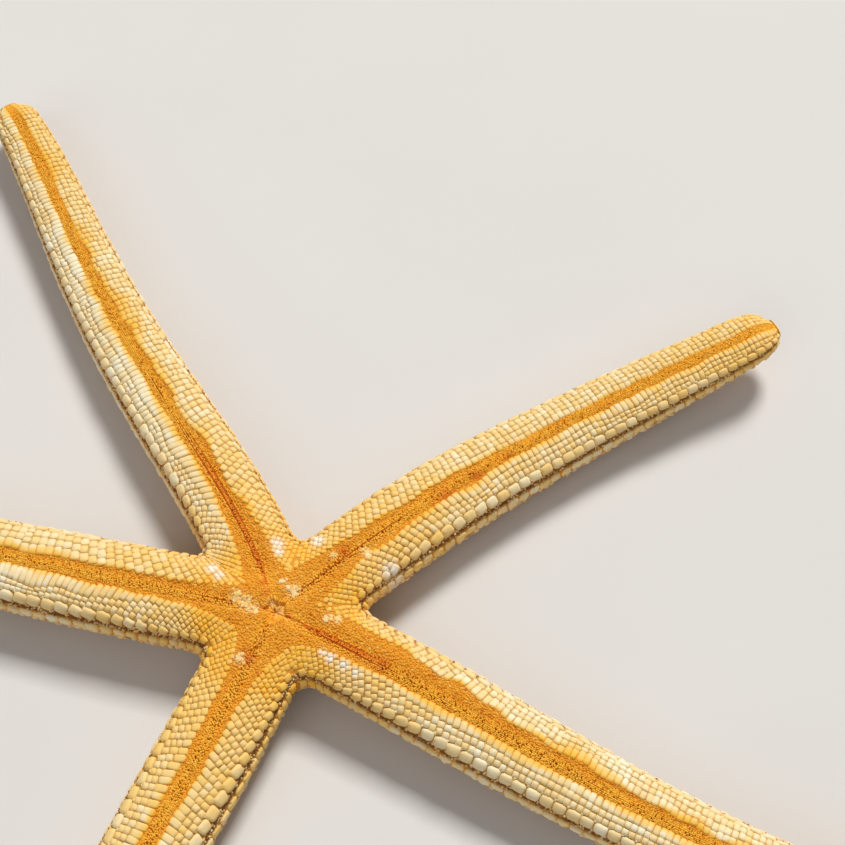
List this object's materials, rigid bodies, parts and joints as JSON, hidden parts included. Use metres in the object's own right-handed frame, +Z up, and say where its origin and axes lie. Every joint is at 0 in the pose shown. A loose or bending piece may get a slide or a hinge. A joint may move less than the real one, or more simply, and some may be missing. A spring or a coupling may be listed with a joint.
{
  "type": "dried finger starfish specimen",
  "caption": "Dried starfish lying mouth side up: finger-like tapering arms with rows of limy plates and a central furrow, round a small disc.",
  "frame": {"origin": "middle of the bounding box, at the level of the floor that the arms' undersides rest on", "axes": "+Z up, out of the mouth side; +Y away from the viewer of the picture; +X to that viewer's right"},
  "size_m": [0.1778, 0.1706, 0.0097],
  "materials": {
    "disc": "matt, granular, dried limy skin",
    "mouth": "matt, granular, dried limy skin",
    "madreporite": "matt, granular, dried limy skin",
    "arm_1_inner": "matt, granular, dried limy skin",
    "arm_1_middle": "matt, granular, dried limy skin",
    "arm_1_outer": "matt, granular, dried limy skin",
    "arm_2_inner": "matt, granular, dried limy skin",
    "arm_2_middle": "matt, granular, dried limy skin",
    "arm_2_outer": "matt, granular, dried limy skin",
    "arm_3_inner": "matt, granular, dried limy skin",
    "arm_3_middle": "matt, granular, dried limy skin",
    "arm_3_outer": "matt, granular, dried limy skin",
    "arm_4_inner": "matt, granular, dried limy skin",
    "arm_4_middle": "matt, granular, dried limy skin",
    "arm_4_outer": "matt, granular, dried limy skin",
    "arm_5_inner": "matt, granular, dried limy skin",
    "arm_5_middle": "matt, granular, dried limy skin",
    "arm_5_outer": "matt, granular, dried limy skin"
  },
  "bodies": {
    "root": {"disc": "disc", "mouth": "mouth", "madreporite": "madreporite", "arm_1_inner": "arm_1_inner", "arm_1_middle": "arm_1_middle", "arm_1_outer": "arm_1_outer", "arm_2_inner": "arm_2_inner", "arm_2_middle": "arm_2_middle", "arm_2_outer": "arm_2_outer", "arm_3_inner": "arm_3_inner", "arm_3_middle": "arm_3_middle", "arm_3_outer": "arm_3_outer", "arm_4_inner": "arm_4_inner", "arm_4_middle": "arm_4_middle", "arm_4_outer": "arm_4_outer", "arm_5_inner": "arm_5_inner", "arm_5_middle": "arm_5_middle", "arm_5_outer": "arm_5_outer"}
  },
  "joints": []
}
